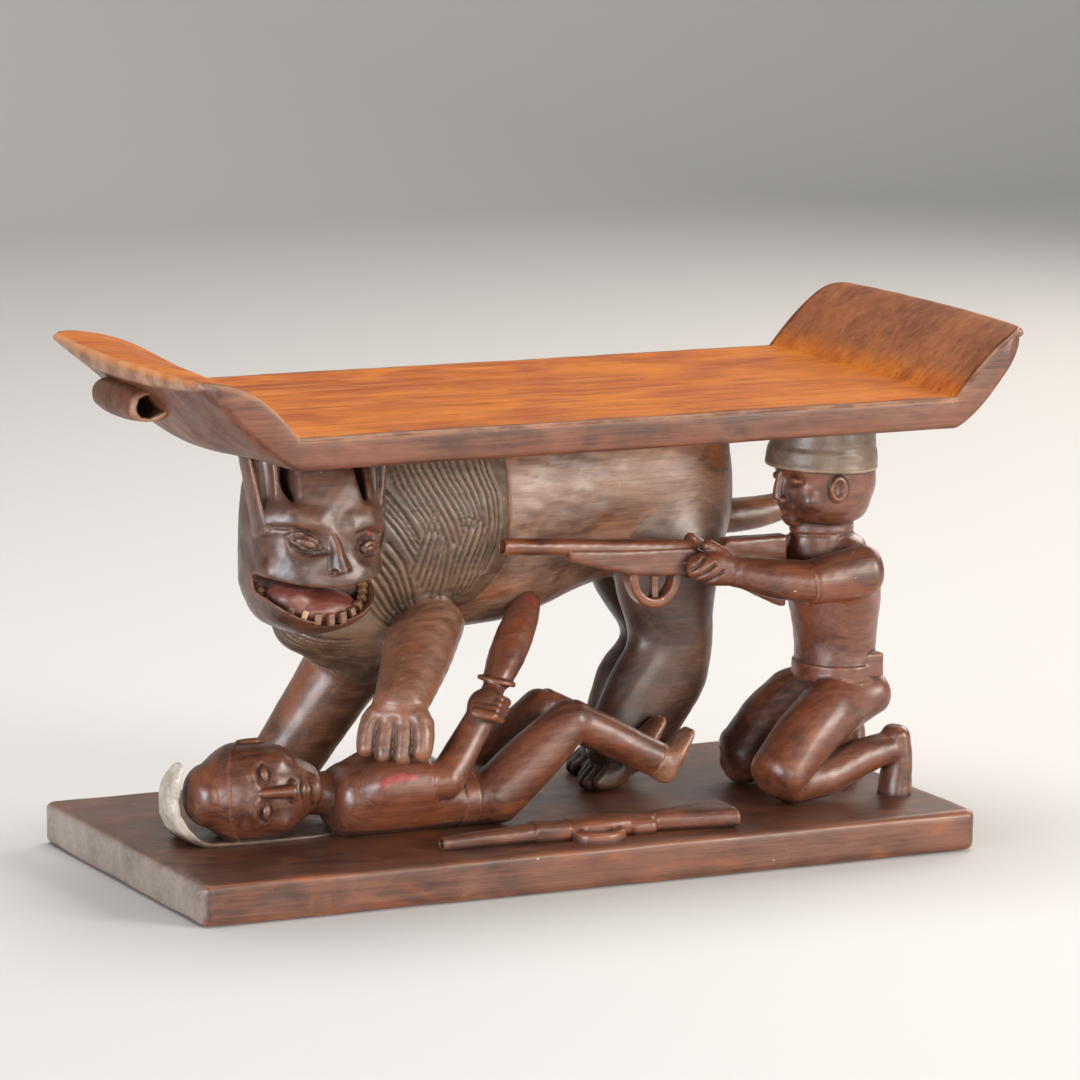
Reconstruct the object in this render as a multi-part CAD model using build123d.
"""Asante (Ashanti) figural stool: a curved seat carried by a lion and a kneeling hunter on a plinth.

Millimetres, +Z up. Origin at the middle of the plinth's underside, +X along the stool towards
the hunter's end, -Y towards the front, where the fallen man and his rifle lie.
The stool is carved from the solid, so every piece is cut to the surface of the one that carries
it and they meet face to face.
"""

from build123d import *
import os
from math import copysign, cos, pi, sin

# ---------------------------------------------------------------- plinth
PLINTH_LENGTH = 550.0
PLINTH_WIDTH = 260.0
PLINTH_THICKNESS = 27.0
PLINTH_CORNER = 12.0
PLINTH_ARRIS = 2.5

# ---------------------------------------------------------------- seat
SEAT_WIDTH = 252.0
SEAT_MID_Y = -6.0
SEAT_TOP = 300.0
SEAT_EDGE = 20.0  # thickness along the two long edges
SEAT_KEEL = 27.0  # thickness along the middle
SEAT_DRESSING = 1.0  # taken off the flat when its top is dressed to a true plane
SEAT_CORNER = 14.0
END_BOW = 9.0  # the end rims bow out by this much at mid width
LEFT_TIP_X = -274.0
LEFT_FOLD_X = -196.0
LEFT_FOLD_SKEW = 36.0  # the left fold runs this much off square over the width
LEFT_RISE = 36.0
LEFT_TIP_EDGE = 4.5
LEFT_TOP_CURVE = 2.2
LEFT_UNDER_CURVE = 1.2
RIGHT_TIP_X = 299.0
RIGHT_FOLD_X = 249.0
RIGHT_RISE = 42.0
RIGHT_TIP_EDGE = 9.0
RIGHT_TOP_CURVE = 1.5
RIGHT_UNDER_CURVE = 1.4
END_KEEL = 12.0  # extra thickness of the turned-up ends at mid width

# ---------------------------------------------------------------- lugs under the seat ends
LUG_SPAN = 64.0
LUG_REACH = 22.0
LUG_RISE = 26.0
LUG_HOLE = 13.0
LUG_DROP = 24.5  # from the end's rim down to the middle of the lug

# ---------------------------------------------------------------- lion
LION_Y = 46.0  # middle plane of the lion's hind quarters
LION_CHEST_Y = 34.0  # middle plane of the chest, nearer the front
RUMP_X = 150.0
TRUNK_HALF_WIDTH = 42.0
TRUNK_TOP = 290.0  # above the seat's underside, which trims it
RUMP_BELLY = 168.0
LOIN_BELLY = 164.0
CHEST_BELLY = 141.0
MANE_BACK_X = -8.0
MANE_FRONT_X = -118.0
MANE_HALF_WIDTH = 52.0
MANE_BOTTOM = 150.0
CHEST_FRONT_X = -134.0
CHEST_BOTTOM = 112.0
HEAD_X = -153.0
HEAD_Y = -14.0
HEAD_HALF_WIDTH = 42.0
HEAD_HALF_DEPTH = 44.0
HEAD_CHIN = 162.0
MOUTH_CORNER_Z = 199.0
MOUTH_LIP_Z = 188.0
MOUTH_FLOOR_Z = 170.0
MOUTH_DEPTH = 36.0
TOOTH_COUNT = 13
TOOTH_WIDTH = 3.4
TOOTH_HEIGHT = 5.0
TOOTH_DEPTH = 4.5
TONGUE_HALF_WIDTH = 23.0
NOSE_REACH = 8.0
NOSE_WIDTH = 20.0
EAR_SPREAD = 36.0  # from the middle of the head out to the middle of each ear
EAR_WIDTH = 13.0
EAR_DEPTH = 26.0
TAIL_RADIUS = 12.5
TAIL_END_X = 252.0
FORELEG_RADIUS = 24.0
WRIST_RADIUS = 17.0
HINDLEG_SPACING = 48.0
THIGH_HALF_DEPTH = 43.0
THIGH_HALF_WIDTH = 23.0
HOCK_HALF_DEPTH = 31.0
SHANK_HALF_DEPTH = 22.0
CLAW_COUNT = 4
CLAW_RADIUS = 4.6

# ---------------------------------------------------------------- hunter
HUNTER_X = 219.0
HUNTER_Y = -30.0
CAP_RADIUS = 37.0
CAP_CROWN_RADIUS = 33.0
CAP_BOTTOM = 241.0
HEAD_RADIUS = 31.0
HUNTER_CHIN = 206.0
NECK_RADIUS = 13.5
NECK_BOTTOM = 184.0
SHOULDER_Z = 178.0
CHEST_HALF_WIDTH = 37.0
CHEST_HALF_DEPTH = 28.0
WAIST_HALF_WIDTH = 29.0
WAIST_HALF_DEPTH = 26.0
BELT_Z = 113.0
BELT_HEIGHT = 11.0
BELT_PROUD = 1.5
KNEE_SPREAD = 34.0
KNEE_X = 166.0
HUNTER_THIGH_RADIUS = 25.0
HUNTER_KNEE_RADIUS = 22.0
SHIN_RADIUS = 13.0
FOOT_X = 252.0
FOOT_HEIGHT = 46.0
ARM_RADIUS = 15.5
FOREARM_RADIUS = 12.0
HAND_RADIUS = 11.5

# ---------------------------------------------------------------- the hunter's rifle
RIFLE_Y = -34.0
BARREL_RADIUS = 5.6
BORE_RADIUS = 3.4
BORE_DEPTH = 12.0
MUZZLE_X = -27.0
MUZZLE_Z = 205.0
BREECH_X = 112.0
BARREL_FALL = 10.0  # the breech lies this much lower than the muzzle
STOCK_THICKNESS = 14.0
FORESTOCK_X = 18.0
BUTT_X = 178.0
BUTT_HEIGHT = 47.0
GUARD_WIDTH = 26.0  # the opening, from front to back
GUARD_DROP = 15.5
GUARD_BAR = 6.0

# ---------------------------------------------------------------- fallen man
FALLEN_Y = -30.0
FALLEN_HEAD_X = -191.0
FALLEN_HEAD_HALF_LENGTH = 41.0
FALLEN_HEAD_RADIUS = 31.0
FALLEN_SHOULDER_X = -128.0
FALLEN_BELT_X = -56.0
FALLEN_CHEST_TOP = 82.0
FALLEN_WAIST_TOP = 64.0
FALLEN_CHEST_HALF_WIDTH = 33.0
FALLEN_WAIST_HALF_WIDTH = 27.0
FALLEN_LEG_SPACING = 40.0
FALLEN_KNEE_X = 28.0
FALLEN_KNEE_TOP = 103.0
FALLEN_THIGH_RADIUS = 18.0
FALLEN_SHIN_RADIUS = 12.0
FALLEN_ANKLE_X = 84.0
FALLEN_ANKLE_Z = 62.0
SOLE_LENGTH = 46.0
SOLE_THICKNESS = 14.0
SHOE_WIDTH = 26.0
FALLEN_ARM_RADIUS = 13.0
FALLEN_FOREARM_RADIUS = 10.5
FIST_RADIUS = 13.0
HAT_THICKNESS = 4.0
HAT_HALF_WIDTH = 30.0
HAT_RISE = 50.0
DAGGER_RADIUS = 8.5
DAGGER_GUARD_RADIUS = 12.0

# ---------------------------------------------------------------- rifle on the ground
GROUND_RIFLE_Y = -92.0
GROUND_MUZZLE_X = -98.0
GROUND_BUTT_X = 108.0
GROUND_BARREL_RADIUS = 5.0
GROUND_STOCK_HEIGHT = 10.0
GROUND_BUTT_WIDTH = 30.0
GROUND_GUARD_HALF_LENGTH = 17.0
GROUND_GUARD_REACH = 11.0

FACETS = 14  # flats the adze leaves round a carved form
SMALL_FACETS = 10
ROUND_END = 0.55  # how far a rounded limb end stands past its last full ring, in radii
BURY = 6.0  # how far a piece is made past the face that trims it
UP = (0, 0, 1)
ALONG = (1, 0, 0)
ACROSS = (0, 1, 0)

pieces = {}


def keep(name, shape, *neighbours):
    """Trim a piece to the neighbours that carry it, and keep its one solid body."""
    for neighbour in neighbours:
        shape = shape - pieces[neighbour]
    pieces[name] = max(shape.solids(), key=lambda solid: solid.volume)


def oval(centre, normal, side, half_side, half_rise, facets=FACETS):
    """An oval section across a limb, adzed into flats, with its first corner on the side direction."""
    turns = [2 * pi * i / facets for i in range(facets)]
    corners = [(half_side * cos(turn), half_rise * sin(turn)) for turn in turns]
    return Plane(origin=centre, x_dir=side, z_dir=normal) * make_face(Polyline(*corners, close=True))


def limb(rings, side, start_round=False, end_round=False, facets=FACETS):
    """A carved limb: a loft through ovals. A ring is (point, half size along side, other half)."""
    points = [Vector(*ring[0]) for ring in rings]
    sections = []
    last = len(rings) - 1
    for i, (point, half_side, half_rise) in enumerate(rings):
        tangent = (points[min(i + 1, last)] - points[max(i - 1, 0)]).normalized()
        ends = []
        if i == 0 and start_round:
            ends.append(-1)
        sections.append(oval(point, tangent, side, half_side, half_rise, facets))
        if i == last and end_round:
            ends.append(1)
        for way in ends:
            tip = points[i] + tangent * way * min(half_side, half_rise) * ROUND_END
            small = oval(tip, tangent, side, half_side * ROUND_END, half_rise * ROUND_END, facets)
            sections.insert(0 if way < 0 else len(sections), small)
    return loft(sections, ruled=True)


def between(a, b, share):
    """The point a given share of the way from a to b."""
    return tuple(p + (q - p) * share for p, q in zip(a, b))


def nugget(centre, half_x, half_y, half_z, facets=FACETS):
    """A rounded mass, such as a fist or a tongue, with its long way on Y."""
    x, y, z = centre
    rings = []
    for share in (-0.97, -0.75, -0.3, 0.3, 0.75, 0.97):
        girth = (1 - share * share) ** 0.5
        rings.append(((x, y + half_y * share, z), half_x * girth, half_z * girth))
    return limb(rings, ALONG, facets=facets)


# ---------------------------------------------------------------- plinth and seat
def make_plinth():
    """A sawn slab with rounded corners and worn arrises."""
    slab = Box(PLINTH_LENGTH, PLINTH_WIDTH, PLINTH_THICKNESS)
    slab = Pos(0, 0, PLINTH_THICKNESS / 2) * slab
    slab = fillet(slab.edges().filter_by(Axis.Z), PLINTH_CORNER)
    top_edges = slab.edges().group_by(Axis.Z)[-1]
    pieces["plinth"] = chamfer(top_edges, PLINTH_ARRIS).solids()[0]


def seat_section(x, skew, top, edge, keel):
    """One upright section of the seat: straight top and sides, bellied underside."""
    near_y = SEAT_MID_Y - SEAT_WIDTH / 2
    far_y = SEAT_MID_Y + SEAT_WIDTH / 2
    near_x, far_x = x - skew / 2, x + skew / 2
    near_top = Vector(near_x, near_y, top)
    far_top = Vector(far_x, far_y, top)
    near_under = Vector(near_x, near_y, top - edge)
    far_under = Vector(far_x, far_y, top - edge)
    outline = [
        Line(near_top, far_top),
        Line(far_top, far_under),
        ThreePointArc(far_under, Vector(x, SEAT_MID_Y, top - keel), near_under),
        Line(near_under, near_top),
    ]
    return Face(Wire([edge for curve in outline for edge in curve.edges()]))


def seat_end(fold_x, tip_x, skew, rise, tip_edge, top_curve, under_curve):
    """One turned-up end, lofted from the fold line out past the rim."""
    reach = abs(tip_x - fold_x)
    outward = copysign(1, tip_x - fold_x)
    sections = []
    for share in (0, 0.1, 0.24, 0.42, 0.62, 0.82, 1, 1 + (END_BOW + BURY) / reach):
        inside = min(share, 1)
        top = SEAT_TOP + rise * (1 - (1 - inside) ** top_curve)
        drop = rise + SEAT_EDGE - tip_edge
        under = SEAT_TOP - SEAT_EDGE + drop * inside**under_curve
        belly = (SEAT_KEEL - SEAT_EDGE) + END_KEEL * sin(pi * min(inside, 1)) ** 2
        x = fold_x + outward * reach * share
        sections.append(seat_section(x, skew * (1 - inside), top, top - under, top - under + belly))
    return loft(sections, ruled=True)


def make_seat():
    """Two turned-up ends and the flat between them, cut to the bowed outline of the plan."""
    left = seat_end(LEFT_FOLD_X, LEFT_TIP_X, LEFT_FOLD_SKEW, LEFT_RISE, LEFT_TIP_EDGE,
                    LEFT_TOP_CURVE, LEFT_UNDER_CURVE)
    right = seat_end(RIGHT_FOLD_X, RIGHT_TIP_X, 0, RIGHT_RISE, RIGHT_TIP_EDGE,
                     RIGHT_TOP_CURVE, RIGHT_UNDER_CURVE)
    rough_top = SEAT_TOP + SEAT_DRESSING
    edge, keel = SEAT_EDGE + SEAT_DRESSING, SEAT_KEEL + SEAT_DRESSING
    flat = loft([
        seat_section(LEFT_FOLD_X, LEFT_FOLD_SKEW, rough_top, edge, keel),
        seat_section(RIGHT_FOLD_X, 0, rough_top, edge, keel),
    ], ruled=True)
    chips = Box(2 * (RIGHT_TIP_X - LEFT_TIP_X), 2 * SEAT_WIDTH, 2 * SEAT_EDGE)
    flat = flat - Pos(0, SEAT_MID_Y, SEAT_TOP + SEAT_EDGE) * chips
    near_y = SEAT_MID_Y - SEAT_WIDTH / 2
    far_y = SEAT_MID_Y + SEAT_WIDTH / 2
    plan = make_face([
        Line((LEFT_TIP_X, near_y), (RIGHT_TIP_X, near_y)),
        ThreePointArc((RIGHT_TIP_X, near_y), (RIGHT_TIP_X + END_BOW, SEAT_MID_Y), (RIGHT_TIP_X, far_y)),
        Line((RIGHT_TIP_X, far_y), (LEFT_TIP_X, far_y)),
        ThreePointArc((LEFT_TIP_X, far_y), (LEFT_TIP_X - END_BOW, SEAT_MID_Y), (LEFT_TIP_X, near_y)),
    ])
    plan = fillet(plan.vertices(), SEAT_CORNER)
    tallest = SEAT_TOP + max(LEFT_RISE, RIGHT_RISE) + BURY
    outline = extrude(plan, tallest)
    pieces["seat_board"] = ((left + flat + right) & outline).solids()[0]


def make_lug(name, tip_x, rise):
    """A rounded lug under the rim of a seat end, pierced from front to back."""
    outward = copysign(1, tip_x)
    x = tip_x + outward * (END_BOW - LUG_REACH / 2)
    z = SEAT_TOP + rise - LUG_DROP
    lug = nugget((x, SEAT_MID_Y, z), LUG_REACH, LUG_SPAN / 2, LUG_RISE / 2)
    hole = Cylinder(LUG_HOLE / 2, LUG_SPAN * 2, rotation=(90, 0, 0))
    keep(name, lug - Pos(x + outward * LUG_HOLE / 4, SEAT_MID_Y, z - LUG_HOLE / 8) * hole, "seat_board")


# ---------------------------------------------------------------- lion
def make_lion_body():
    """The barrel of the body, deep at the chest and tucked up at the loin, under the seat."""
    def ring(x, y, belly, half_width):
        half_height = (TRUNK_TOP - belly) / 2
        return ((x, y, TRUNK_TOP - half_height), half_width, half_height)

    shoulder_y = (LION_Y + LION_CHEST_Y) / 2
    rings = [
        ring(MANE_FRONT_X / 2, LION_CHEST_Y, CHEST_BELLY, TRUNK_HALF_WIDTH),
        ring(MANE_BACK_X + 20, shoulder_y, CHEST_BELLY + 2, TRUNK_HALF_WIDTH),
        ring(RUMP_X / 2, LION_Y, LOIN_BELLY, TRUNK_HALF_WIDTH - 2),
        ring(RUMP_X - 30, LION_Y, RUMP_BELLY, TRUNK_HALF_WIDTH),
        ring(RUMP_X, LION_Y, RUMP_BELLY, TRUNK_HALF_WIDTH - 6),
    ]
    keep("lion_body", limb(rings, ACROSS, end_round=True), "seat_board")


def make_lion_mane():
    """The ruff: a thick collar round neck and shoulders that hangs down over the chest."""
    collar_half = (TRUNK_TOP - MANE_BOTTOM) / 2
    middle_z = TRUNK_TOP - collar_half
    depth = MANE_BACK_X - MANE_FRONT_X
    collar = limb([
        ((MANE_BACK_X, LION_CHEST_Y, middle_z + 4), MANE_HALF_WIDTH - 9, collar_half - 8),
        ((MANE_BACK_X - depth * 0.25, LION_CHEST_Y, middle_z), MANE_HALF_WIDTH, collar_half),
        ((MANE_BACK_X - depth * 0.7, LION_CHEST_Y, middle_z), MANE_HALF_WIDTH, collar_half + 2),
        ((MANE_FRONT_X, LION_CHEST_Y, middle_z), MANE_HALF_WIDTH - 8, collar_half),
    ], ACROSS, end_round=True)
    chest = limb([
        ((MANE_FRONT_X + 30, LION_CHEST_Y + 2, CHEST_BOTTOM + 24), 30, 26),
        ((CHEST_FRONT_X + 22, LION_CHEST_Y + 2, CHEST_BOTTOM + 46), 38, 36),
        ((CHEST_FRONT_X + 14, LION_CHEST_Y, MANE_BOTTOM + 40), 40, 38),
    ], ACROSS, start_round=True)
    keep("lion_mane", collar + chest, "seat_board", "lion_body")


def lion_head_block():
    """The whole head with the mouth shut: a tall rounded block that reaches up to the seat."""
    def ring(z, y, half_width, half_depth):
        return oval((HEAD_X, y, z), UP, ALONG, half_width, half_depth)

    brow = MOUTH_CORNER_Z + 30
    return loft([
        ring(HEAD_CHIN, HEAD_Y - 10, HEAD_HALF_WIDTH * 0.5, HEAD_HALF_DEPTH * 0.5),
        ring(HEAD_CHIN + 8, HEAD_Y - 5, HEAD_HALF_WIDTH * 0.82, HEAD_HALF_DEPTH * 0.86),
        ring(MOUTH_CORNER_Z - 8, HEAD_Y, HEAD_HALF_WIDTH, HEAD_HALF_DEPTH),
        ring(brow, HEAD_Y, HEAD_HALF_WIDTH * 0.98, HEAD_HALF_DEPTH * 0.94),
        ring(SEAT_TOP - SEAT_KEEL - 14, HEAD_Y + 8, HEAD_HALF_WIDTH * 0.62, HEAD_HALF_DEPTH * 0.7),
        ring(SEAT_TOP - SEAT_EDGE, HEAD_Y + 12, HEAD_HALF_WIDTH * 0.5, HEAD_HALF_DEPTH * 0.6),
    ], ruled=True)


def mouth_arc(middle_z):
    """The line of a lip, seen from the front: corners high, middle low."""
    left = (HEAD_X - HEAD_HALF_WIDTH - BURY, MOUTH_CORNER_Z)
    right = (HEAD_X + HEAD_HALF_WIDTH + BURY, MOUTH_CORNER_Z)
    return ThreePointArc(left, (HEAD_X, middle_z), right)


def mouth_prism(upper, lower, front, back):
    """The space between two lip lines, from one depth to another."""
    outline = make_face([upper, lower])
    at_front = Plane(origin=(0, front, 0), x_dir=ALONG, z_dir=(0, -1, 0))
    return extrude(at_front * outline, -(back - front))


def make_lion_head():
    """Skull, lower jaw, tongue and teeth, cut out of the one head block."""
    block = lion_head_block()
    front = HEAD_Y - HEAD_HALF_DEPTH - NOSE_REACH - BURY
    back = HEAD_Y + HEAD_HALF_DEPTH + BURY
    throat = HEAD_Y - HEAD_HALF_DEPTH + MOUTH_DEPTH
    lip, floor = mouth_arc(MOUTH_LIP_Z), mouth_arc(MOUTH_FLOOR_Z)
    under_z = HEAD_CHIN - BURY
    left, right = floor @ 0, floor @ 1
    below = [Line(left, (left.X, under_z)), Line((left.X, under_z), (right.X, under_z)),
             Line((right.X, under_z), right)]
    jaw_outline = make_face([floor, *below])
    at_front = Plane(origin=(0, front, 0), x_dir=ALONG, z_dir=(0, -1, 0))
    jaw_space = extrude(at_front * jaw_outline, -(back - front))
    mouth = mouth_prism(lip, floor, front, throat)
    nose = loft([
        oval((HEAD_X, HEAD_Y - HEAD_HALF_DEPTH * 0.86, MOUTH_CORNER_Z + 28), (0, 0.2, 1), ALONG,
             NOSE_WIDTH * 0.3, NOSE_REACH * 0.6),
        oval((HEAD_X, HEAD_Y - HEAD_HALF_DEPTH + 2, MOUTH_CORNER_Z + 3), (0, 0.2, 1), ALONG,
             NOSE_WIDTH / 2, NOSE_REACH),
    ], ruled=True)
    jaw = block & jaw_space
    keep("lion_jaw", jaw, "lion_body", "lion_mane")
    keep("lion_head", (block + nose) - jaw_space - mouth, "seat_board", "lion_body", "lion_mane", "lion_jaw")
    tongue_y = throat - MOUTH_DEPTH * 0.35
    tongue = nugget((HEAD_X, tongue_y, MOUTH_FLOOR_Z + 3), TONGUE_HALF_WIDTH, MOUTH_DEPTH * 0.55, 12)
    keep("lion_tongue", tongue & mouth, "lion_head", "lion_jaw")
    make_lion_teeth(floor)


def make_lion_teeth(floor):
    """Short square teeth in a row round the rim of the lower jaw."""
    teeth = []
    for i in range(TOOTH_COUNT):
        share = 0.18 + 0.64 * i / (TOOTH_COUNT - 1)
        at, direction = floor @ share, floor % share
        across = (at.X - HEAD_X) / (HEAD_HALF_WIDTH * 0.93)
        y = HEAD_Y - 4 - (HEAD_HALF_DEPTH - 5) * (1 - min(across * across, 0.98)) ** 0.5
        tooth = Box(TOOTH_WIDTH, TOOTH_DEPTH, TOOTH_HEIGHT)
        lean = Location((at.X, y + TOOTH_DEPTH, at.Y), (0, -Vector(1, 0).get_signed_angle(direction), 0))
        tooth = lean * Pos(0, 0, TOOTH_HEIGHT / 2 - 1) * tooth
        for neighbour in ("lion_jaw", "lion_head", "lion_tongue"):
            tooth = tooth - pieces[neighbour]
        teeth.append(max(tooth.solids(), key=lambda solid: solid.volume))
    pieces["lion_teeth"] = Compound(teeth)


def make_lion_ears():
    """Two upright ears that run from the sides of the skull up to the seat."""
    for name, side in (("lion_ear_left", 1), ("lion_ear_right", -1)):
        root = (HEAD_X + side * EAR_SPREAD * 0.86, HEAD_Y - 8, MOUTH_CORNER_Z + 30)
        tip = (HEAD_X + side * EAR_SPREAD * 1.02, HEAD_Y + 6, SEAT_TOP - SEAT_EDGE)
        ear = limb([
            (root, EAR_WIDTH * 0.55, EAR_DEPTH * 0.5),
            (between(root, tip, 0.5), EAR_WIDTH * 0.5, EAR_DEPTH * 0.5),
            (tip, EAR_WIDTH * 0.5, EAR_DEPTH * 0.42),
        ], ALONG, facets=SMALL_FACETS)
        keep(name, ear, "seat_board", "lion_head", "lion_mane", "lion_body")


def paw(name, heel, toe, half_width, half_height, *neighbours):
    """A paw with a row of long claws, from the heel point towards the toe point."""
    direction = (Vector(*toe) - Vector(*heel)).normalized()
    side = Vector(0, 0, 1).cross(direction)
    if side.length < 0.2:
        side = Vector(0, 1, 0)
    side = side.normalized()
    shape = limb([
        (heel, half_width * 0.8, half_height),
        (between(heel, toe, 0.45), half_width, half_height * 0.95),
        (between(heel, toe, 0.75), half_width * 0.85, half_height * 0.6),
    ], side, start_round=True, end_round=True)
    for i in range(CLAW_COUNT):
        offset = (i / (CLAW_COUNT - 1) * 2 - 1) * (half_width - CLAW_RADIUS * 0.6)
        root = Vector(*between(heel, toe, 0.5)) + side * offset * 0.8
        tip = Vector(*toe) + side * offset
        claw = [(tuple(root), CLAW_RADIUS, CLAW_RADIUS), (tuple(tip), CLAW_RADIUS, CLAW_RADIUS)]
        shape = shape + limb(claw, side, end_round=True, facets=SMALL_FACETS - 4)
    keep(name, shape, *neighbours)


def make_lion_legs():
    """Forelegs that pin the fallen man down, and heavy hind legs with the hock behind."""
    man_chest = (FALLEN_SHOULDER_X + 20, FALLEN_Y - 12, FALLEN_CHEST_TOP)
    floor_z = PLINTH_THICKNESS
    left_shoulder = (-54, LION_CHEST_Y - 20, MANE_BOTTOM + 3)
    left_wrist = (man_chest[0] + 8, man_chest[1] + 3, man_chest[2] + 26)
    keep("lion_foreleg_left", limb([
        (left_shoulder, FORELEG_RADIUS - 1, FORELEG_RADIUS),
        (between(left_shoulder, left_wrist, 0.45), FORELEG_RADIUS - 3, FORELEG_RADIUS - 1),
        (left_wrist, WRIST_RADIUS, WRIST_RADIUS),
    ], ACROSS, end_round=True), "lion_body", "lion_mane", "lion_jaw")

    right_shoulder = (-88, LION_CHEST_Y + 13, CHEST_BOTTOM + 26)
    right_wrist = (-143, LION_CHEST_Y + 31, floor_z + 22)
    keep("lion_foreleg_right", limb([
        (right_shoulder, FORELEG_RADIUS - 1, FORELEG_RADIUS),
        (between(right_shoulder, right_wrist, 0.5), FORELEG_RADIUS - 4, FORELEG_RADIUS - 4),
        (right_wrist, WRIST_RADIUS, WRIST_RADIUS + 1),
    ], ACROSS, end_round=True), "lion_body", "lion_mane", "plinth")
    paw("lion_forepaw_right", (right_wrist[0] + 4, right_wrist[1], floor_z + 9),
        (right_wrist[0] - 34, right_wrist[1], floor_z + 4), 17, 12, "plinth", "lion_foreleg_right")

    for name, side in (("left", -1), ("right", 1)):
        y = LION_Y + side * HINDLEG_SPACING / 2
        leg = limb([
            ((RUMP_X - 19, y - side * 9, RUMP_BELLY + 94), THIGH_HALF_WIDTH - 10, THIGH_HALF_DEPTH - 12),
            ((RUMP_X - 24, y, RUMP_BELLY + 24), THIGH_HALF_WIDTH, THIGH_HALF_DEPTH),
            ((RUMP_X - 25, y, RUMP_BELLY - 18), THIGH_HALF_WIDTH, THIGH_HALF_DEPTH - 7),
            ((RUMP_X - 21, y, RUMP_BELLY - 54), THIGH_HALF_WIDTH - 3, HOCK_HALF_DEPTH),
            ((RUMP_X - 30, y, floor_z + 52), THIGH_HALF_WIDTH - 5, SHANK_HALF_DEPTH + 3),
            ((RUMP_X - 54, y, floor_z + 10), THIGH_HALF_WIDTH - 7, SHANK_HALF_DEPTH - 3),
        ], ACROSS, end_round=True)
        keep("lion_hindleg_" + name, leg, "seat_board", "lion_body", "plinth",
             *(["lion_hindleg_left"] if side > 0 else []))
        paw("lion_hindpaw_" + name, (RUMP_X - 52, y, floor_z + 9), (RUMP_X - 81, y, floor_z + 4), 15, 11,
            "plinth", "lion_hindleg_left", "lion_hindleg_" + name)


def make_lion_tail():
    """A stiff tail that stands straight out behind the rump and tapers."""
    z = (RUMP_BELLY + TRUNK_TOP) / 2 - 33
    tail = limb([
        ((RUMP_X + 4, LION_Y + 10, z), TAIL_RADIUS, TAIL_RADIUS),
        ((RUMP_X + 60, LION_Y + 12, z + 1), TAIL_RADIUS - 1.5, TAIL_RADIUS - 1.5),
        ((TAIL_END_X, LION_Y + 12, z + 9), TAIL_RADIUS / 2, TAIL_RADIUS / 2),
    ], ACROSS, end_round=True)
    keep("lion_tail", tail, "lion_body", "lion_hindleg_left", "lion_hindleg_right")


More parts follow.
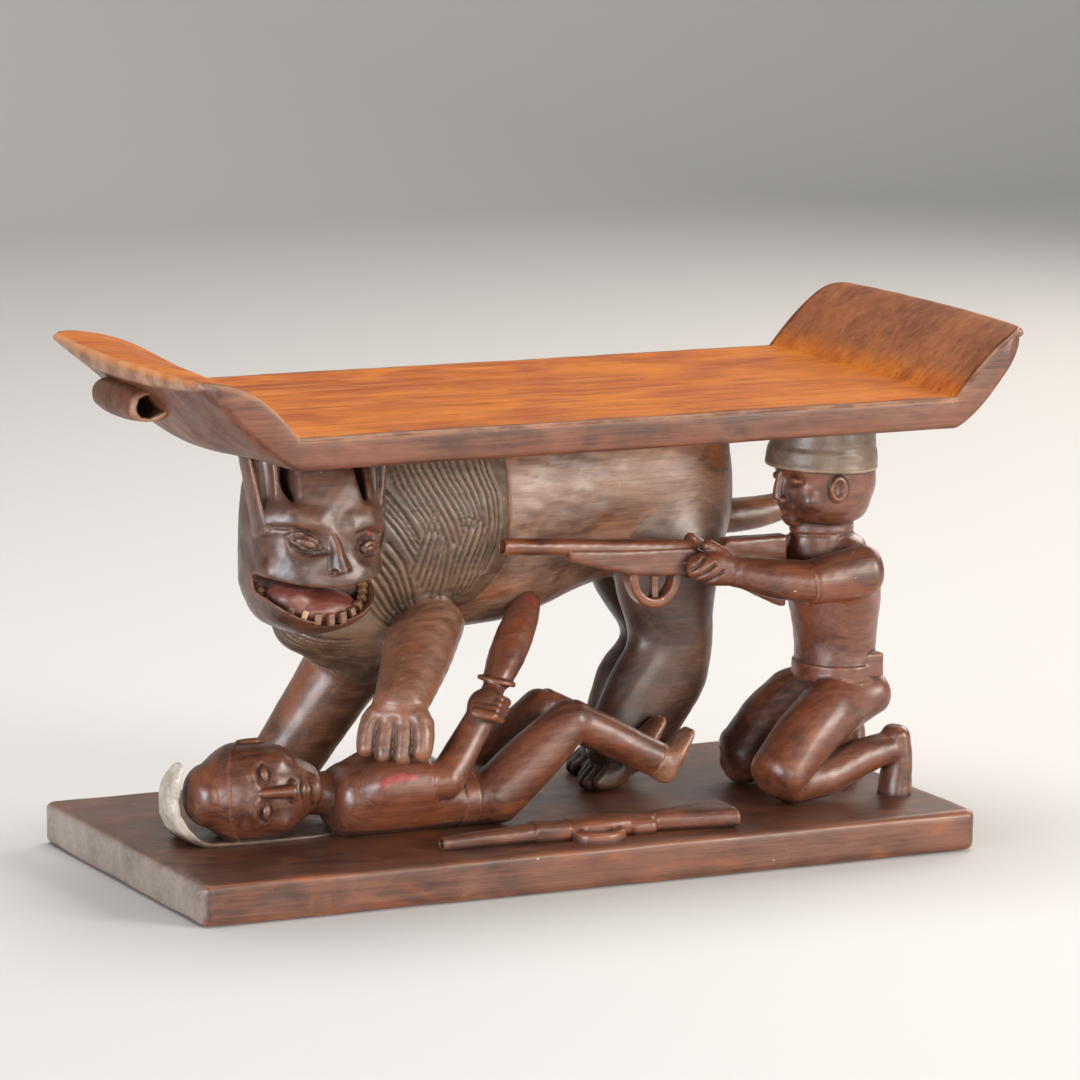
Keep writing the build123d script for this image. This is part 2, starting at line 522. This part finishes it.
# ---------------------------------------------------------------- hunter
def make_hunter():
    """The kneeling hunter, facing the lion, whose cap helps to carry the seat."""
    cap_top = SEAT_TOP - SEAT_EDGE
    cap = loft([
        oval((HUNTER_X - 11, HUNTER_Y, CAP_BOTTOM), UP, ALONG, CAP_RADIUS, CAP_RADIUS - 1),
        oval((HUNTER_X - 11, HUNTER_Y, CAP_BOTTOM + 10), UP, ALONG, CAP_RADIUS - 1, CAP_RADIUS - 2),
        oval((HUNTER_X - 10, HUNTER_Y, cap_top), UP, ALONG, CAP_CROWN_RADIUS, CAP_CROWN_RADIUS),
    ], ruled=True)
    keep("hunter_cap", cap, "seat_board")

    head = loft([
        oval((HUNTER_X - 7, HUNTER_Y, HUNTER_CHIN), UP, ALONG, HEAD_RADIUS * 0.72, HEAD_RADIUS * 0.62),
        oval((HUNTER_X - 9, HUNTER_Y, HUNTER_CHIN + 10), UP, ALONG, HEAD_RADIUS, HEAD_RADIUS * 0.86),
        oval((HUNTER_X - 8, HUNTER_Y, HUNTER_CHIN + 24), UP, ALONG, HEAD_RADIUS + 3, HEAD_RADIUS * 0.96),
        oval((HUNTER_X - 9, HUNTER_Y, CAP_BOTTOM + BURY), UP, ALONG, HEAD_RADIUS + 2, HEAD_RADIUS * 0.98),
    ], ruled=True)
    nose_x = HUNTER_X - 8 - HEAD_RADIUS
    nose = loft([
        oval((nose_x + 1, HUNTER_Y, HUNTER_CHIN + 28), UP, ALONG, 3, 3, SMALL_FACETS),
        oval((nose_x - 1, HUNTER_Y, HUNTER_CHIN + 15), UP, ALONG, 6, 6, SMALL_FACETS),
    ], ruled=True)
    for side in (-1, 1):
        root = (HUNTER_X - 3, HUNTER_Y + side * HEAD_RADIUS * 0.8, HUNTER_CHIN + 22)
        rim = (HUNTER_X - 2, HUNTER_Y + side * (HEAD_RADIUS + 3), HUNTER_CHIN + 22)
        head = head + limb([(root, 9, 11), (rim, 8, 10)], ALONG, facets=SMALL_FACETS)
    keep("hunter_head", head + nose, "hunter_cap")

    neck = loft([
        oval((HUNTER_X, HUNTER_Y, NECK_BOTTOM), UP, ALONG, NECK_RADIUS + 3, NECK_RADIUS + 5),
        oval((HUNTER_X, HUNTER_Y, NECK_BOTTOM + 10), UP, ALONG, NECK_RADIUS, NECK_RADIUS),
        oval((HUNTER_X, HUNTER_Y, HUNTER_CHIN + BURY), UP, ALONG, NECK_RADIUS, NECK_RADIUS),
    ], ruled=True)
    keep("hunter_neck", neck, "hunter_head")

    torso = loft([
        oval((HUNTER_X + 2, HUNTER_Y, BELT_Z - 10), UP, ALONG, WAIST_HALF_DEPTH, WAIST_HALF_WIDTH),
        oval((HUNTER_X + 2, HUNTER_Y, BELT_Z + 12), UP, ALONG, WAIST_HALF_DEPTH, WAIST_HALF_WIDTH),
        oval((HUNTER_X, HUNTER_Y, SHOULDER_Z - 20), UP, ALONG, CHEST_HALF_DEPTH + 1, CHEST_HALF_WIDTH),
        oval((HUNTER_X + 2, HUNTER_Y, SHOULDER_Z), UP, ALONG, CHEST_HALF_DEPTH - 2, CHEST_HALF_WIDTH),
        oval((HUNTER_X + 2, HUNTER_Y, SHOULDER_Z + 13), UP, ALONG, NECK_RADIUS + 4, NECK_RADIUS + 9),
    ], ruled=True)
    keep("hunter_torso", torso, "hunter_neck")

    belt = loft([
        oval((HUNTER_X + 2, HUNTER_Y, BELT_Z - BELT_HEIGHT), UP, ALONG,
             WAIST_HALF_DEPTH + BELT_PROUD, WAIST_HALF_WIDTH + BELT_PROUD),
        oval((HUNTER_X + 2, HUNTER_Y, BELT_Z), UP, ALONG,
             WAIST_HALF_DEPTH + BELT_PROUD, WAIST_HALF_WIDTH + BELT_PROUD),
    ], ruled=True)
    pouch_y = HUNTER_Y - WAIST_HALF_WIDTH * 0.82
    pouch = Pos(HUNTER_X + WAIST_HALF_DEPTH * 0.72, pouch_y, BELT_Z - BELT_HEIGHT / 2 + 3)
    belt = belt + pouch * Box(12, 12, BELT_HEIGHT + 8)
    keep("hunter_belt", belt, "hunter_torso")
    make_hunter_legs()
    make_hunter_arms()


def make_hunter_legs():
    """Both legs kneel: thighs forward and down, shins back along the plinth, feet on their toes."""
    floor_z = PLINTH_THICKNESS
    for name, side in (("left", -1), ("right", 1)):
        knee_y = HUNTER_Y + side * KNEE_SPREAD
        hip = (HUNTER_X + 18, HUNTER_Y + side * WAIST_HALF_WIDTH * 0.55, BELT_Z - 22)
        knee = (KNEE_X + (5 if side > 0 else 0), knee_y, floor_z + HUNTER_KNEE_RADIUS - 1)
        thigh = limb([
            (hip, HUNTER_THIGH_RADIUS - 3, HUNTER_THIGH_RADIUS - 1),
            (between(hip, knee, 0.5), HUNTER_THIGH_RADIUS - 2, HUNTER_THIGH_RADIUS - 1),
            (knee, HUNTER_KNEE_RADIUS - 2, HUNTER_KNEE_RADIUS - 1),
        ], ACROSS, start_round=True, end_round=True)
        other = ["hunter_thigh_left"] if side > 0 else []
        keep("hunter_thigh_" + name, thigh, "hunter_torso", "hunter_belt", "plinth", *other)
        ankle = (FOOT_X - 8, knee_y + side * -3, floor_z + FOOT_HEIGHT - 12)
        back_of_knee = (KNEE_X + 10, knee_y, floor_z + 20)
        shin = limb([
            (back_of_knee, SHIN_RADIUS + 4, SHIN_RADIUS + 4),
            (between(back_of_knee, ankle, 0.5), SHIN_RADIUS + 1, SHIN_RADIUS + 1),
            (ankle, SHIN_RADIUS - 2, SHIN_RADIUS - 2),
        ], ACROSS)
        keep("hunter_shin_" + name, shin, "plinth", "hunter_thigh_left", "hunter_thigh_" + name)
        foot = limb([
            ((FOOT_X - 1, ankle[1], floor_z + FOOT_HEIGHT - 6), 11, 9),
            ((FOOT_X + 1, ankle[1], floor_z + FOOT_HEIGHT / 2), 12, 9),
            ((FOOT_X - 1, ankle[1], floor_z - 2), 13, 11),
        ], ACROSS, start_round=True)
        keep("hunter_foot_" + name, foot, "plinth", "hunter_shin_" + name)


def make_hunter_arms():
    """Arms stretched forward to the small of the rifle's stock."""
    grip = (BREECH_X + 4, RIFLE_Y, MUZZLE_Z - BARREL_FALL - 10)
    for name, side in (("left", -1), ("right", 1)):
        shoulder = (HUNTER_X + 2, HUNTER_Y + side * (CHEST_HALF_WIDTH - 1), SHOULDER_Z)
        elbow_spread = CHEST_HALF_WIDTH + 1 if side < 0 else CHEST_HALF_WIDTH - 17
        elbow = (HUNTER_X - 42, HUNTER_Y + side * elbow_spread, SHOULDER_Z - 5)
        wrist = (grip[0] + 16, RIFLE_Y + side * 19, grip[2] - 4)
        upper = limb([
            (shoulder, ARM_RADIUS, ARM_RADIUS + 1),
            (between(shoulder, elbow, 0.5), ARM_RADIUS - 1, ARM_RADIUS),
            (elbow, ARM_RADIUS - 1, ARM_RADIUS - 1),
        ], ACROSS, start_round=True)
        keep("hunter_sleeve_" + name, upper, "hunter_torso", "hunter_neck", "lion_hindleg_left")
        forearm = limb([
            (between(elbow, shoulder, 0.08), FOREARM_RADIUS, FOREARM_RADIUS),
            (between(elbow, wrist, 0.4), FOREARM_RADIUS, FOREARM_RADIUS),
            (wrist, FOREARM_RADIUS - 4, FOREARM_RADIUS - 3),
        ], ACROSS)
        keep("hunter_forearm_" + name, forearm, "hunter_sleeve_" + name, "rifle_stock", "lion_hindleg_left")
        hand = limb([
            ((wrist[0] + 2, wrist[1], wrist[2]), HAND_RADIUS - 3, HAND_RADIUS - 3),
            ((grip[0] + 4, RIFLE_Y + side * 13, grip[2]), HAND_RADIUS - 3, HAND_RADIUS),
            ((grip[0] - 10, RIFLE_Y + side * 9, grip[2] + 2), HAND_RADIUS - 5, HAND_RADIUS - 1),
        ], ACROSS, end_round=True)
        keep("hunter_hand_" + name, hand, "rifle_stock", "rifle_barrel", "rifle_trigger_guard",
             "hunter_forearm_left", "hunter_forearm_" + name, "lion_hindleg_left", "lion_body",
             *(["hunter_hand_left"] if side > 0 else []))


# ---------------------------------------------------------------- the hunter's rifle
def stock_face(points, y):
    """A closed outline in the upright plane of a rifle, given as (x, z) points."""
    plane = Plane(origin=(0, y, 0), x_dir=ALONG, z_dir=(0, -1, 0))
    return plane * make_face(Polyline(*points, close=True))


def make_rifle():
    """A long gun held level: barrel with its bore, stock in one piece, guard with a trigger."""
    muzzle = (MUZZLE_X, RIFLE_Y, MUZZLE_Z)
    breech = (BREECH_X, RIFLE_Y, MUZZLE_Z - BARREL_FALL)
    line = (Vector(*breech) - Vector(*muzzle)).normalized()
    along = Plane(origin=muzzle, x_dir=ACROSS, z_dir=line)
    length = (Vector(*breech) - Vector(*muzzle)).length
    barrel = along * extrude(Circle(BARREL_RADIUS), length)
    bore = along * extrude(Circle(BORE_RADIUS), BORE_DEPTH)
    keep("rifle_barrel", barrel - bore)

    slope = BARREL_FALL / (BREECH_X - MUZZLE_X)
    fore_z = MUZZLE_Z - slope * (FORESTOCK_X - MUZZLE_X)
    breech_z = MUZZLE_Z - BARREL_FALL
    wrist_x = BREECH_X + 14
    outline = [
        (FORESTOCK_X, fore_z - 1), (FORESTOCK_X + 2, fore_z - BARREL_RADIUS - 3),
        (BREECH_X - 50, breech_z - 14), (BREECH_X - 8, breech_z - 17), (wrist_x, breech_z - 19),
        (BUTT_X - 4, breech_z + 5 - BUTT_HEIGHT), (BUTT_X, breech_z + 5 - BUTT_HEIGHT),
        (BUTT_X, breech_z + 5), (wrist_x + 8, breech_z + 5), (wrist_x - 4, breech_z - 4),
        (BREECH_X - 4, breech_z + 2), (BREECH_X - 50, breech_z + 3),
    ]
    half = STOCK_THICKNESS / 2
    stock = extrude(stock_face(outline, RIFLE_Y + half), STOCK_THICKNESS)
    stock = fillet(stock.edges().filter_by(Axis.Y).filter_by(lambda e: e.center().X > BUTT_X - 5), 3)
    keep("rifle_stock", stock, "rifle_barrel")

    guard_x = BREECH_X - 30
    guard_z = breech_z - 15
    at = Plane(origin=(guard_x, RIFLE_Y, guard_z), x_dir=ALONG, z_dir=(0, -1, 0))
    half_opening = GUARD_WIDTH / 2
    flat = Plane.XY.z_dir
    outer = oval((0, 0, 0), flat, ALONG, half_opening + GUARD_BAR, GUARD_DROP + GUARD_BAR, 2 * FACETS)
    inner = oval((0, 0, 0), flat, ALONG, half_opening, GUARD_DROP, 2 * FACETS)
    guard = at * extrude(outer - inner, GUARD_BAR * 0.7, both=True)
    trigger = Pos(guard_x + 1, RIFLE_Y, guard_z - GUARD_DROP / 2) * Box(5, GUARD_BAR, GUARD_DROP + 2)
    trimmed = guard + trigger - Pos(guard_x, RIFLE_Y, guard_z + 40) * Box(120, 60, 76)
    keep("rifle_trigger_guard", trimmed, "rifle_stock")


# ---------------------------------------------------------------- fallen man
def make_fallen_man():
    """The fallen man on his back, head turned to the front, one arm driving a dagger upward."""
    floor_z = PLINTH_THICKNESS
    hat_left = FALLEN_HEAD_X - FALLEN_HEAD_HALF_LENGTH - 20
    hat_right = FALLEN_SHOULDER_X - 8
    hat_y = FALLEN_Y + 8
    brim = make_face([
        Line((hat_left + 14, floor_z - 1), (hat_right, floor_z - 1)),
        Line((hat_right, floor_z - 1), (hat_right, floor_z + HAT_THICKNESS)),
        Line((hat_right, floor_z + HAT_THICKNESS), (hat_left + 26, floor_z + HAT_THICKNESS)),
        ThreePointArc((hat_left + 26, floor_z + HAT_THICKNESS), (hat_left + 11, floor_z + HAT_RISE * 0.5),
                      (hat_left + 9, floor_z + HAT_RISE)),
        Line((hat_left + 9, floor_z + HAT_RISE), (hat_left + 6, floor_z + HAT_RISE)),
        ThreePointArc((hat_left + 6, floor_z + HAT_RISE), (hat_left + 2, floor_z + HAT_RISE * 0.5),
                      (hat_left + 14, floor_z - 1)),
    ])
    at = Plane(origin=(0, hat_y + HAT_HALF_WIDTH, 0), x_dir=ALONG, z_dir=(0, -1, 0))
    hat = extrude(at * brim, HAT_HALF_WIDTH * 2)
    round_plan = Pos((hat_left + hat_right) / 2, hat_y, floor_z + HAT_RISE / 2)
    plan = scale(Cylinder(1, 1), by=((hat_right - hat_left) / 2, HAT_HALF_WIDTH, HAT_RISE * 2))
    keep("fallen_hat", hat & (round_plan * plan), "plinth")

    head_z = floor_z + HAT_THICKNESS + FALLEN_HEAD_RADIUS - 4
    head_y = FALLEN_Y + 5
    def ring(x, half_rise, half_depth):
        return ((x, head_y, head_z), half_depth, half_rise)

    head = limb([
        ring(FALLEN_HEAD_X - FALLEN_HEAD_HALF_LENGTH * 0.86, FALLEN_HEAD_RADIUS * 0.62, FALLEN_HEAD_RADIUS * 0.6),
        ring(FALLEN_HEAD_X - FALLEN_HEAD_HALF_LENGTH * 0.4, FALLEN_HEAD_RADIUS, FALLEN_HEAD_RADIUS),
        ring(FALLEN_HEAD_X + FALLEN_HEAD_HALF_LENGTH * 0.3, FALLEN_HEAD_RADIUS * 0.92, FALLEN_HEAD_RADIUS),
        ring(FALLEN_HEAD_X + FALLEN_HEAD_HALF_LENGTH * 0.85, FALLEN_HEAD_RADIUS * 0.5, FALLEN_HEAD_RADIUS * 0.62),
    ], ACROSS, start_round=True, end_round=True)
    nose = limb([
        ((FALLEN_HEAD_X - 4, head_y - FALLEN_HEAD_RADIUS + 2, head_z), 3, 3),
        ((FALLEN_HEAD_X + 12, head_y - FALLEN_HEAD_RADIUS, head_z), 5, 6),
    ], ACROSS, facets=SMALL_FACETS)
    ear = limb([
        ((FALLEN_HEAD_X, head_y + 4, head_z + FALLEN_HEAD_RADIUS * 0.8), 9, 8),
        ((FALLEN_HEAD_X, head_y + 4, head_z + FALLEN_HEAD_RADIUS), 8, 7),
    ], ACROSS, facets=SMALL_FACETS)
    keep("fallen_head", head + nose + ear, "plinth", "fallen_hat")

    neck_from = (FALLEN_HEAD_X + FALLEN_HEAD_HALF_LENGTH * 0.6, head_y, head_z - 4)
    neck_to = (FALLEN_SHOULDER_X + 6, FALLEN_Y, head_z - 6)
    neck = limb([(neck_from, 13, 13), (neck_to, 15, 15)], ACROSS)
    keep("fallen_neck", neck, "fallen_head", "fallen_hat", "plinth")

    def torso_ring(x, half_width, top):
        half_height = (top - floor_z + 2) / 2
        return ((x, FALLEN_Y, top - half_height), half_width, half_height)

    torso = limb([
        torso_ring(FALLEN_SHOULDER_X - 6, FALLEN_CHEST_HALF_WIDTH * 0.86, FALLEN_CHEST_TOP - 10),
        torso_ring(FALLEN_SHOULDER_X + 16, FALLEN_CHEST_HALF_WIDTH, FALLEN_CHEST_TOP),
        torso_ring((FALLEN_SHOULDER_X + FALLEN_BELT_X) / 2 + 10, FALLEN_CHEST_HALF_WIDTH * 0.95, FALLEN_CHEST_TOP - 6),
        torso_ring(FALLEN_BELT_X - 4, FALLEN_WAIST_HALF_WIDTH, FALLEN_WAIST_TOP),
    ], ACROSS, start_round=True)
    keep("fallen_torso", torso, "plinth", "fallen_neck", "fallen_head", "fallen_hat")

    belt = limb([
        torso_ring(FALLEN_BELT_X - 5, FALLEN_WAIST_HALF_WIDTH + 1.5, FALLEN_WAIST_TOP + 1.5),
        torso_ring(FALLEN_BELT_X + 6, FALLEN_WAIST_HALF_WIDTH + 1.5, FALLEN_WAIST_TOP + 1.5),
    ], ACROSS)
    keep("fallen_belt", belt, "plinth", "fallen_torso")
    hips = limb([
        torso_ring(FALLEN_BELT_X + 5, FALLEN_WAIST_HALF_WIDTH, FALLEN_WAIST_TOP),
        torso_ring(FALLEN_BELT_X + 26, FALLEN_WAIST_HALF_WIDTH + 1, FALLEN_WAIST_TOP - 2),
    ], ACROSS, end_round=True)
    keep("fallen_hips", hips, "plinth", "fallen_belt")
    make_fallen_legs()
    make_fallen_arms()


def make_fallen_legs():
    """Both knees drawn up, the shins sloping down to shoes with their soles turned outward."""
    floor_z = PLINTH_THICKNESS
    for name, side in (("right", -1), ("left", 1)):
        y = FALLEN_Y + 4 + side * FALLEN_LEG_SPACING / 2
        hip = (FALLEN_BELT_X + 20, FALLEN_Y + side * 14, floor_z + FALLEN_THIGH_RADIUS - 1)
        knee = (FALLEN_KNEE_X, y, FALLEN_KNEE_TOP - FALLEN_SHIN_RADIUS - 2)
        thigh = limb([
            (hip, FALLEN_THIGH_RADIUS - 1, FALLEN_THIGH_RADIUS),
            (between(hip, knee, 0.55), FALLEN_THIGH_RADIUS - 2, FALLEN_THIGH_RADIUS - 1),
            (knee, FALLEN_SHIN_RADIUS + 1, FALLEN_SHIN_RADIUS + 2),
        ], ACROSS, start_round=True, end_round=True)
        other = ["fallen_thigh_right"] if side > 0 else []
        keep("fallen_thigh_" + name, thigh, "plinth", "fallen_hips", "fallen_belt", *other)
        ankle = (FALLEN_ANKLE_X, y, FALLEN_ANKLE_Z)
        shin = limb([
            (between(knee, ankle, -0.04), FALLEN_SHIN_RADIUS, FALLEN_SHIN_RADIUS),
            (between(knee, ankle, 0.5), FALLEN_SHIN_RADIUS, FALLEN_SHIN_RADIUS),
            (ankle, FALLEN_SHIN_RADIUS - 2, FALLEN_SHIN_RADIUS - 1),
        ], ACROSS)
        keep("fallen_shin_" + name, shin, "fallen_thigh_" + name)
        down = (Vector(*ankle) - Vector(*knee)).normalized()
        toe = Vector(0, 1, 0).cross(down) * -1
        sole = Vector(*ankle) - down * 2 + toe * 3
        plane = Plane(origin=sole, x_dir=toe, z_dir=down)
        heel = plane.offset(SOLE_THICKNESS).origin
        shoe = loft([
            oval(plane.origin, down, toe, SOLE_LENGTH * 0.4, SHOE_WIDTH * 0.42),
            oval(heel, down, toe, SOLE_LENGTH / 2, SHOE_WIDTH / 2),
        ], ruled=True)
        keep("fallen_shoe_" + name, shoe, "plinth", "fallen_shin_" + name, "lion_hindleg_left")


def make_fallen_arms():
    """The right arm lies along the ribs and bends up to a fist on the dagger."""
    floor_z = PLINTH_THICKNESS
    shoulder = (FALLEN_SHOULDER_X + 4, FALLEN_Y - FALLEN_CHEST_HALF_WIDTH + 5, floor_z + 32)
    elbow = (FALLEN_BELT_X - 10, FALLEN_Y - FALLEN_WAIST_HALF_WIDTH - 2, floor_z + 28)
    fist = (FALLEN_BELT_X + 17, FALLEN_Y - 15, 103)
    keep("fallen_sleeve_right", limb([
        (shoulder, FALLEN_ARM_RADIUS, FALLEN_ARM_RADIUS),
        (between(shoulder, elbow, 0.5), FALLEN_ARM_RADIUS - 1, FALLEN_ARM_RADIUS),
        (between(shoulder, elbow, 0.85), FALLEN_ARM_RADIUS - 1, FALLEN_ARM_RADIUS - 1),
    ], ACROSS, start_round=True), "fallen_torso", "fallen_belt", "plinth", "fallen_neck")
    forearm = limb([
        (between(shoulder, elbow, 0.8), FALLEN_FOREARM_RADIUS, FALLEN_FOREARM_RADIUS),
        (elbow, FALLEN_FOREARM_RADIUS, FALLEN_FOREARM_RADIUS + 1),
        (between(elbow, fist, 0.35), FALLEN_FOREARM_RADIUS, FALLEN_FOREARM_RADIUS),
        (fist, FALLEN_FOREARM_RADIUS - 2, FALLEN_FOREARM_RADIUS - 2),
    ], ACROSS)
    keep("fallen_forearm_right", forearm, "fallen_torso", "fallen_belt", "plinth", "fallen_sleeve_right",
         "fallen_hips", "fallen_thigh_right")
    hand = nugget(fist, FIST_RADIUS, FIST_RADIUS * 0.9, FIST_RADIUS * 0.95)
    keep("fallen_hand_right", hand, "fallen_forearm_right", "fallen_thigh_right")

    tip = (16, LION_CHEST_Y - 22, CHEST_BELLY + 18)
    keep("dagger", limb([
        (between(fist, tip, 0.06), DAGGER_RADIUS - 2, DAGGER_RADIUS - 2),
        (between(fist, tip, 0.11), DAGGER_GUARD_RADIUS, DAGGER_GUARD_RADIUS),
        (between(fist, tip, 0.17), DAGGER_GUARD_RADIUS - 1, DAGGER_GUARD_RADIUS - 1),
        (between(fist, tip, 0.2), DAGGER_RADIUS - 1, DAGGER_RADIUS - 1),
        (between(fist, tip, 0.45), DAGGER_RADIUS, DAGGER_RADIUS),
        (tip, DAGGER_RADIUS - 2, DAGGER_RADIUS - 2),
    ], ACROSS, end_round=True), "fallen_hand_right", "lion_body", "lion_mane")

    left_shoulder = (shoulder[0], FALLEN_Y + FALLEN_CHEST_HALF_WIDTH - 3, shoulder[2] - 6)
    left_hand = (elbow[0] + 22, FALLEN_Y + FALLEN_WAIST_HALF_WIDTH + 6, floor_z + 9)
    keep("fallen_arm_left", limb([
        (left_shoulder, FALLEN_ARM_RADIUS - 1, FALLEN_ARM_RADIUS),
        (between(left_shoulder, left_hand, 0.5), FALLEN_ARM_RADIUS - 2, FALLEN_ARM_RADIUS - 2),
        (left_hand, FALLEN_FOREARM_RADIUS - 2, FALLEN_FOREARM_RADIUS - 2),
    ], ACROSS, start_round=True, end_round=True),
         "fallen_torso", "fallen_belt", "plinth", "fallen_neck", "fallen_hips", "fallen_thigh_left")

    wrist = (FALLEN_SHOULDER_X + 28, FALLEN_Y - 9, FALLEN_CHEST_TOP + 24)
    paw("lion_forepaw_left", wrist, (wrist[0] - 6, wrist[1] - 12, FALLEN_CHEST_TOP - 8), 20, 12,
        "fallen_torso", "fallen_sleeve_right", "lion_foreleg_left")


# ---------------------------------------------------------------- rifle on the ground
def make_ground_rifle():
    """The fallen man's rifle, flat on the plinth along its front edge."""
    floor_z = PLINTH_THICKNESS
    fore_x = GROUND_MUZZLE_X + 66
    keep("ground_rifle_barrel", limb([
        ((GROUND_MUZZLE_X, GROUND_RIFLE_Y, floor_z + GROUND_BARREL_RADIUS - 1), GROUND_BARREL_RADIUS,
         GROUND_BARREL_RADIUS - 1),
        ((fore_x + 8, GROUND_RIFLE_Y, floor_z + GROUND_BARREL_RADIUS), GROUND_BARREL_RADIUS + 1,
         GROUND_BARREL_RADIUS),
    ], ACROSS), "plinth")
    y = GROUND_RIFLE_Y
    plan = make_face(Polyline(
        (fore_x, y - 6), (fore_x + 34, y - 7), (fore_x + 84, y - 5), (GROUND_BUTT_X - 4, y - 8),
        (GROUND_BUTT_X, y + GROUND_BUTT_WIDTH - 14), (fore_x + 84, y + 5), (fore_x + 40, y + 7),
        (fore_x, y + 6), close=True))
    guard = oval((fore_x + 62, y - 6, 0), UP, ALONG, GROUND_GUARD_HALF_LENGTH, GROUND_GUARD_REACH)
    low = extrude(guard, GROUND_STOCK_HEIGHT * 0.7)
    stock = Pos(0, 0, floor_z - 1) * (extrude(plan, GROUND_STOCK_HEIGHT + 1) + low)
    keep("ground_rifle_stock", stock, "plinth", "ground_rifle_barrel")


make_plinth()
make_seat()
make_lug("seat_lug_left", LEFT_TIP_X, LEFT_RISE)
make_lug("seat_lug_right", RIGHT_TIP_X, RIGHT_RISE)
make_lion_body()
make_lion_mane()
make_lion_head()
make_lion_ears()
make_lion_legs()
make_lion_tail()
make_rifle()
make_hunter()
make_fallen_man()
make_ground_rifle()

os.makedirs("parts", exist_ok=True)
for node, piece in pieces.items():
    export_step(piece, "parts/" + node + ".step")
